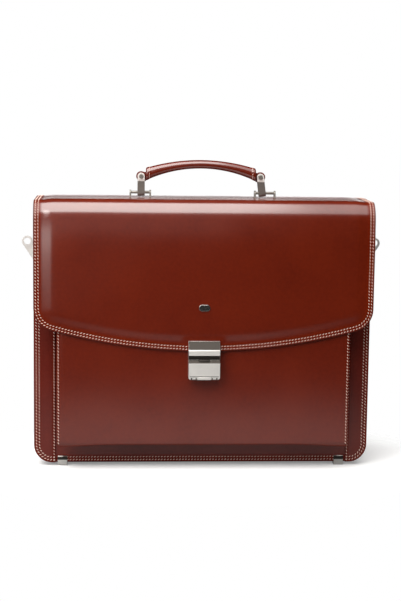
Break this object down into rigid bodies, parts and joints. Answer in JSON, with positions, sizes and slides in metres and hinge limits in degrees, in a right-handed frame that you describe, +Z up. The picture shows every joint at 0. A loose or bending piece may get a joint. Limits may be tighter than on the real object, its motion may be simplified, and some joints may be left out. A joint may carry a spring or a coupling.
{
  "type": "briefcase",
  "caption": "Structured leather briefcase with a curved-edge flap, stiff walls and gussets, a front pocket, a press lock, strap lugs, clip feet and an arched handle on metal links.",
  "frame": {"origin": "centre of the model's box in X and Y, at the underside of the feet", "axes": "+X to the right seen from the front, -Y towards the front, +Z up"},
  "size_m": [0.4534, 0.151, 0.3838],
  "materials": {
    "leather": "polished smooth leather",
    "dark_leather": "polished smooth leather, darker",
    "board": "stiff fibre board",
    "lining": "woven lining",
    "nickel": "satin nickel plate",
    "spring": "spring steel"
  },
  "bodies": {
    "case": {"back_panel": "leather", "back_board": "board", "back_lining": "lining", "front_wall": "leather", "front_board": "board", "front_lining": "lining", "left_gusset": "dark_leather", "right_gusset": "dark_leather", "base_panel": "dark_leather", "base_board": "board", "divider": "lining", "left_side_strip": "dark_leather", "right_side_strip": "dark_leather", "pocket_panel": "leather", "pocket_left_gusset": "dark_leather", "pocket_right_gusset": "dark_leather", "pocket_base": "dark_leather", "lock_case": "nickel", "lock_backplate": "nickel", "lock_screws": "nickel", "lock_spring": "spring", "left_lug": "nickel", "right_lug": "nickel", "lug_rivets": "nickel", "front_feet": "nickel", "rear_feet": "nickel"},
    "flap_top": {"top_panel": "leather", "top_board": "board", "left_bracket": "nickel", "right_bracket": "nickel", "left_bar": "nickel", "right_bar": "nickel", "bracket_rivets": "nickel"},
    "flap_front": {"flap_panel": "leather", "flap_lining": "lining", "hasp": "nickel", "hasp_tongue": "nickel", "hasp_backplate": "nickel", "hasp_rivets": "nickel", "flap_stud": "nickel"},
    "handle": {"grip_core": "board", "grip_cover": "leather", "left_end_tab": "leather", "right_end_tab": "leather", "left_rivet": "nickel", "right_rivet": "nickel"},
    "left_link": {"left_link": "nickel"},
    "right_link": {"right_link": "nickel"},
    "button": {"lock_button": "nickel", "latch_bar": "nickel"}
  },
  "joints": [
    {"name": "flap_top_lift", "type": "hinge", "parent": "case", "child": "flap_top", "pos_m": [0, 0.0743, 0.319], "axis": [-1, 0, 0], "range_deg": [0, 110]},
    {"name": "flap_front_lift", "type": "hinge", "parent": "flap_top", "child": "flap_front", "pos_m": [0, -0.0657, 0.315], "axis": [-1, 0, 0], "range_deg": [0, 110]},
    {"name": "handle_swing", "type": "hinge", "parent": "flap_top", "child": "handle", "pos_m": [0, 0.0043, 0.3426], "axis": [1, 0, 0], "range_deg": [-75, 75]},
    {"name": "left_link_lean", "type": "hinge", "parent": "handle", "child": "left_link", "pos_m": [-0.0775, 0.0043, 0.3627], "axis": [0, 1, 0], "range_deg": [-8, 8]},
    {"name": "right_link_lean", "type": "hinge", "parent": "handle", "child": "right_link", "pos_m": [0.0725, 0.0043, 0.3627], "axis": [0, 1, 0], "range_deg": [-2, 6]},
    {"name": "button_press", "type": "slide", "parent": "case", "child": "button", "axis": [0, 1, 0], "range_m": [0, 0.0025], "stiffness_N_per_m": 400, "springref_m": -0.002, "deforming": ["lock_spring"]}
  ]
}
